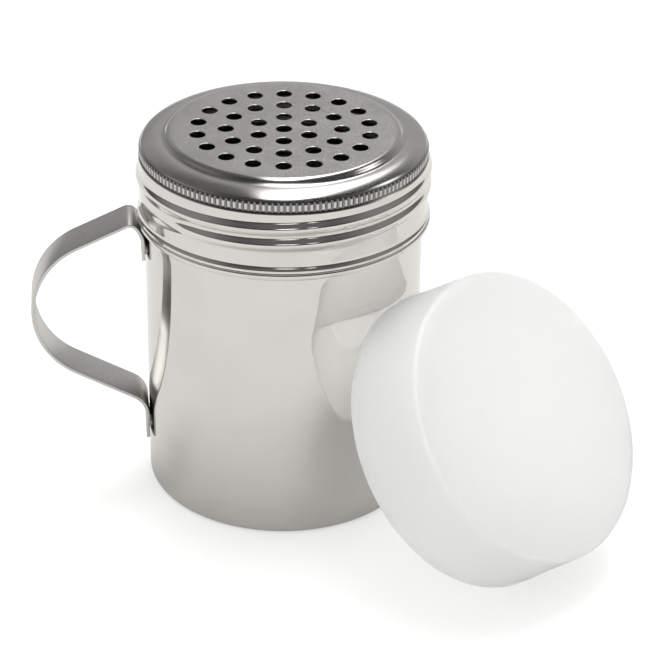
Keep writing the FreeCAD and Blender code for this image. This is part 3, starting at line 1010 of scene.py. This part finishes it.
@dataclass
class Handle:
    """Flat strap bent into an open loop, with a flat tab at each end against the cup."""

    cup: Cup
    wall: float = 0.9 * MM
    width: float = 11.7 * MM
    edge: float = 0.18 * MM
    weld_gap: float = 0.15 * MM
    lower_foot: float = 12.6 * MM
    lower_head: float = 19.3 * MM
    lower_bend: float = 6.5 * MM
    loop_reach: float = 44.05 * MM
    loop_height: float = 50.25 * MM
    loop_bend: float = 19.75 * MM
    upper_bend: float = 2.0 * MM
    upper_height: float = 72.1 * MM
    lean_bend: float = 7.75 * MM
    upper_head: float = 68.4 * MM
    upper_foot: float = 64.4 * MM
    degrees_per_step: float = 3.0
    side_rows: int = 2
    edge_rows: int = 3
    sharp: float = math.radians(50.0)

    def path(self) -> list[tuple[Point, Point]]:
        """The strap's centre line in the plane of the handle.

        Returns:
            Pairs of a point and the direction there; the first number of each is the reach from the
            cup's axis.
        """
        line = self.cup.radius + self.weld_gap + self.wall / 2
        slack = self.lean_bend - self.upper_bend
        rise = self.upper_height - self.upper_head
        lean_centre = Vector((line + self.lean_bend, self.upper_head))
        bends = [
            (Vector((line + self.lower_bend, self.lower_head)), self.lower_bend, -1),
            (Vector((self.loop_reach, self.loop_height)), self.loop_bend, 1),
            (lean_centre + Vector((-math.sqrt(slack ** 2 - rise ** 2), rise)), self.upper_bend, 1),
            (lean_centre, self.lean_bend, 1),
        ]
        headings = [QUARTER_TURN]
        for (start, start_radius, start_turn), (end, end_radius, end_turn) in zip(bends, bends[1:]):
            gap = end - start
            share = (end_turn * end_radius - start_turn * start_radius) / gap.length
            headings.append(math.atan2(gap.y, gap.x) - math.asin(max(-1.0, min(1.0, share))))
        headings.append(-QUARTER_TURN)
        points = [((line, self.lower_foot), (0.0, 1.0))]
        for index, (centre, radius, turn) in enumerate(bends):
            first, sweep = headings[index], headings[index + 1] - headings[index]
            while sweep * turn < 0:
                sweep += turn * FULL_TURN
            while abs(sweep) > FULL_TURN:
                sweep -= turn * FULL_TURN
            steps = max(2, math.ceil(abs(math.degrees(sweep)) / self.degrees_per_step))
            for step in range(steps + 1):
                heading = first + sweep * step / steps
                ahead = (math.cos(heading), math.sin(heading))
                points.append(((centre.x + turn * radius * ahead[1], centre.y - turn * radius * ahead[0]), ahead))
        points.append(((line, self.upper_foot), (0.0, -1.0)))
        return points

    def section(self) -> list[Point]:
        """The strap's section, with soft edges.

        Returns:
            Its points, each across the thickness and across the width.
        """
        half, side, edge = self.wall / 2, self.width / 2, self.edge
        corners = [(half, -side + edge), (half, side - edge), (half - edge, side), (-half + edge, side),
                   (-half, side - edge), (-half, -side + edge), (-half + edge, -side), (half - edge, -side)]
        outline = []
        for index in range(0, len(corners), 2):
            start, end, after = corners[index], corners[index + 1], corners[(index + 2) % len(corners)]
            outline += [start, *run(start, end, self.side_rows)]
            outline += arc(end, after, edge, 1, self.edge_rows)[:-1]
        return outline

    def build(self, finish: bpy.types.Material) -> None:
        """Make the handle.

        Args:
            finish: Its material.
        """
        mesh = bmesh.new()
        section = self.section()
        rings = []
        for (reach, height), (ahead_x, ahead_z) in self.path():
            ring = []
            for out, side in section:
                x, z = reach + out * ahead_z, height - out * ahead_x
                ring.append(mesh.verts.new((-x, side, z)))
            rings.append(ring)
        for first, second in zip(rings, rings[1:]):
            for index in range(len(section)):
                after = (index + 1) % len(section)
                mesh.faces.new((first[index], first[after], second[after], second[index]))
        mesh.faces.new(rings[0])
        mesh.faces.new(rings[-1])
        bmesh.ops.recalc_face_normals(mesh, faces=mesh.faces)
        handle = dressed(mesh_object("strap_handle", mesh, self.sharp), finish)
        taken_for(handle, "handle", "dredger")


@dataclass
class Cover:
    """Shallow plastic cap with a small lip, leaning on the cup."""

    cup: Cup
    bore: float = 37.05 * MM
    wall: float = 0.65 * MM
    depth: float = 21.5 * MM
    taper: float = 1.1 * MM
    corner: float = 1.1 * MM
    lip_proud: float = 0.2 * MM
    lip_height: float = 2.0 * MM
    lip_blend: float = 0.3 * MM
    bearing: float = math.radians(-43.3)
    tilt: float = math.radians(38.2)
    gap: float = 0.3 * MM
    edge_round: float = 0.12 * MM
    gate_radius: float = 0.9 * MM
    gate_slope: float = 0.35 * MM
    gate_rise: float = 0.08 * MM
    columns: int = 240
    floor_rings: int = 5
    wall_rows: int = 6
    edge_arc: int = 5
    lip_rows: int = 2
    corner_arc: int = 8
    face_rings: int = 8
    sharp: float = math.radians(22.0)

    def build(self, finish: bpy.types.Material) -> None:
        """Make the cover.

        Args:
            finish: Its material.
        """
        mouth = self.bore + self.wall
        lip = mouth + self.lip_proud
        face = mouth - self.taper
        foot = self.depth - self.corner
        floor = self.depth - self.wall
        inner_round = self.corner - self.wall / 2
        inner = face - self.wall
        lathe = Lathe(self.columns)
        soft = self.edge_round
        outline = [
            (0.0, floor), *run((0.0, floor), (inner - inner_round, floor), self.floor_rings),
            *arc((inner - inner_round, floor), (inner, floor - inner_round), inner_round, -1),
            *run((inner, floor - inner_round), (self.bore, soft), self.wall_rows),
            *arc((self.bore, soft), (self.bore + soft, 0.0), soft, 1, self.edge_arc),
            (lip - soft, 0.0),
            *arc((lip - soft, 0.0), (lip, soft), soft, 1, self.edge_arc),
            *run((lip, soft), (lip, self.lip_height), self.lip_rows),
            (mouth, self.lip_height + self.lip_blend),
            *run((mouth, self.lip_height + self.lip_blend), (face, foot), self.wall_rows),
            *arc((face, foot), (face - self.corner, self.depth), self.corner, 1, self.corner_arc),
            *run((face - self.corner, self.depth), (2 * self.gate_radius, self.depth), self.face_rings),
            (self.gate_radius, self.depth), (self.gate_radius - self.gate_slope, self.depth + self.gate_rise),
            (0.0, self.depth + self.gate_rise),
        ]
        lathe.turn(outline)
        away = self.cup.radius + self.gap + lip * math.sin(self.tilt)
        place = Vector((away * math.cos(self.bearing), away * math.sin(self.bearing), lip * math.cos(self.tilt)))
        lean = Matrix.Rotation(self.bearing, 4, "Z") @ Matrix.Rotation(QUARTER_TURN - self.tilt, 4, "Y")
        lathe.mesh.transform(Matrix.Translation(place) @ lean)
        cover = dressed(lathe.finish("milky_cover", self.sharp), finish)
        taken_for(cover, "cover", "cover")


@dataclass(frozen=True)
class Panel:
    """One soft light of the studio, as it shows in the metal."""

    azimuth: float
    elevation: float
    half_width: float
    half_height: float
    softness: float
    strength: float


@dataclass
class Studio:
    """Pale paper floor, soft panels all round and the photograph's camera."""

    turn: float = math.radians(-4.96)
    elevation: float = math.radians(29.07)
    distance: float = 618.83 * MM
    look_height: float = 41.31 * MM
    yaw: float = 0.0175
    roll: float = 0.0041
    lens: float = 132.566
    sensor: float = 36.0
    clip: tuple[float, float] = (0.01, 50.0)
    floor_size: float = 6.0
    floor_drop: float = 0.02 * MM
    backdrop: float = 1.0
    dome: float = 1.54
    room: float = 0.06
    tint: Colour = (1.0, 0.995, 0.985)
    edge: tuple[float, float] = (0.0, 0.1)
    least_depth: float = 0.05
    # Each panel: azimuth, elevation, half width and half height in degrees, softness and strength.
    softbox: Panel = Panel(14.0, 70.0, 14.0, 22.0, 0.4, 8.6)
    panels: tuple[Panel, ...] = (
        Panel(5.0, 12.0, 50.0, 28.0, 0.7, 0.27),
        Panel(30.0, 16.0, 32.0, 24.0, 0.6, 0.14),
        Panel(-40.0, 45.0, 40.0, 25.0, 0.6, 0.1),
        Panel(14.0, 68.0, 8.0, 30.0, 0.4, 4.5),
        Panel(77.0, 42.0, 9.0, 8.0, 0.5, 2.2),
        Panel(183.0, 15.0, 7.0, 2.5, 0.4, 2.6),
        Panel(164.0, 15.0, 3.0, 2.0, 0.4, 2.6),
        Panel(100.0, 20.0, 30.0, 22.0, 0.8, 0.22),
        Panel(-95.0, 20.0, 30.0, 22.0, 0.8, 0.22),
        Panel(180.0, 30.0, 34.0, 14.0, 0.8, 0.1),
    )

    def camera(self) -> None:
        """Make the camera and put it where the photograph was taken from."""
        turn = Matrix.Rotation(self.turn, 3, "Z")
        ahead = turn @ Vector((0.0, math.cos(self.elevation), -math.sin(self.elevation)))
        right = turn @ Vector((1.0, 0.0, 0.0))
        up = right.cross(ahead)
        place = Vector((0.0, 0.0, self.look_height)) - ahead * self.distance
        ahead, right = (math.cos(self.yaw) * ahead + math.sin(self.yaw) * right,
                        math.cos(self.yaw) * right - math.sin(self.yaw) * ahead)
        right, up = (math.cos(self.roll) * right + math.sin(self.roll) * up,
                     math.cos(self.roll) * up - math.sin(self.roll) * right)
        data = bpy.data.cameras.new("photo_camera")
        data.lens = self.lens
        data.sensor_width = self.sensor
        data.clip_start, data.clip_end = self.clip
        made = bpy.data.objects.new("photo_camera", data)
        made.matrix_world = Matrix.Translation(place) @ Matrix((right, up, -ahead)).transposed().to_4x4()
        bpy.context.scene.collection.objects.link(made)
        bpy.context.scene.camera = made

    def floor(self, finish: bpy.types.Material) -> None:
        """Lay the paper.

        Args:
            finish: Its material.
        """
        mesh = bmesh.new()
        bmesh.ops.create_grid(mesh, x_segments=1, y_segments=1, size=self.floor_size / 2)
        made = dressed(mesh_object("studio_paper", mesh, QUARTER_TURN), finish)
        made.location.z = -self.floor_drop

    def glow(self, recipe: Recipe, ray: Signal, panel: Panel) -> Signal:
        """How bright one panel is in a direction.

        Args:
            recipe: The world's recipe.
            ray: The direction.
            panel: The panel.

        Returns:
            Its strength there.
        """
        azimuth, elevation = math.radians(panel.azimuth), math.radians(panel.elevation)
        ahead = Vector((math.sin(azimuth) * math.cos(elevation), math.cos(azimuth) * math.cos(elevation),
                        math.sin(elevation)))
        side = Vector((math.cos(azimuth), -math.sin(azimuth), 0.0))
        up = side.cross(ahead)

        depth = recipe.along(ray, ahead)
        safe = depth.at_least(self.least_depth)
        mask = depth.eased(*self.edge)
        for axis, half in ((side, panel.half_width), (up, panel.half_height)):
            reach = math.tan(math.radians(half))
            away = abs(recipe.along(ray, axis) / safe)
            mask = mask * away.eased(reach * (1 + panel.softness), reach * (1 - panel.softness))
        return mask * panel.strength

    def light(self) -> None:
        """Light the room: an even white dome, which the metal sees as a dim room with soft panels."""
        world = bpy.data.worlds.new("studio")
        world.use_nodes = True
        world.cycles.sampling_method = "NONE"
        bpy.context.scene.world = world
        recipe = Recipe(world.node_tree)
        ray = recipe.node("ShaderNodeTexCoord", output="Generated")
        room = self.glow(recipe, ray, self.panels[0]) + self.room
        for panel in self.panels[1:]:
            room = room + self.glow(recipe, ray, panel)
        even = self.glow(recipe, ray, self.softbox) + self.dome
        seen, glossy, through = (recipe.node("ShaderNodeLightPath", output=f"Is {kind} Ray")
                                 for kind in ("Camera", "Glossy", "Transmission"))
        mirrored = glossy * (1 - through)
        strength = (room * mirrored + even * (1 - mirrored)) * (1 - seen) + seen * self.backdrop
        shine = recipe.node("ShaderNodeBackground", {}, {"Color": (*self.tint, 1.0), "Strength": strength})
        recipe.node("ShaderNodeOutputWorld", {}, {"Surface": shine})
        bpy.context.scene.view_settings.view_transform = "Standard"


def corners(box: Iterable[Vector]) -> list[list[float]]:
    """A box's corners as plain lists of numbers."""
    return [[float(number) for number in corner] for corner in box]


def main() -> None:
    """Build the object and its studio."""
    logging.basicConfig(level=logging.INFO, format="%(name)s: %(message)s")
    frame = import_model()
    studio = Studio()
    studio.camera()
    studio.floor(StudioPaper("studio_paper").material())
    studio.light()
    polished = DrawnSteel("drawn_steel").material()
    pressed = DrawnSteel("pressed_steel", roughness=0.1, mark_depth=0.002 * MM).material()
    inside = SatinSteel("drawn_inside", Grain.TURNED, bright=(0.6, 0.59, 0.57), dull=(0.52, 0.51, 0.495),
                        roughness=0.36).material()
    satin = SatinSteel("satin_top", Grain.BLASTED, bright=(0.61, 0.6, 0.585), dull=(0.44, 0.43, 0.415),
                       speck_scale=2400.0).material()
    shoulder = SatinSteel("turned_shoulder", Grain.TURNED, roughness=0.18, drawn_out=0.7).material()
    strap = SatinSteel("strap_steel", Grain.BRUSHED, bright=(0.64, 0.63, 0.61), dull=(0.57, 0.56, 0.54),
                       roughness=0.36).material()
    weld = SatinSteel("weld_metal", Grain.BLASTED, roughness=0.4).material()
    milky = MilkyPlastic("milky_plastic").material()
    cup = Cup(Thread())
    cup.build(polished, inside)
    lid = Lid(cup)
    # The knurl's grooves get painted shade, darkest at their bottoms.
    knurl = DrawnSteel("knurled_steel", bright=(0.64, 0.63, 0.61), dull=(0.54, 0.53, 0.51), roughness=0.24,
                       groove=lid.groove()).material()
    lid.build(pressed, satin, shoulder, inside, knurl)
    Handle(cup).build(strap)
    dressed(frame["nodes"]["handle_welds"], weld)
    LOG.info("handle_welds: kept from the frame")
    Cover(cup).build(milky)


if __name__ == "__main__":
    main()
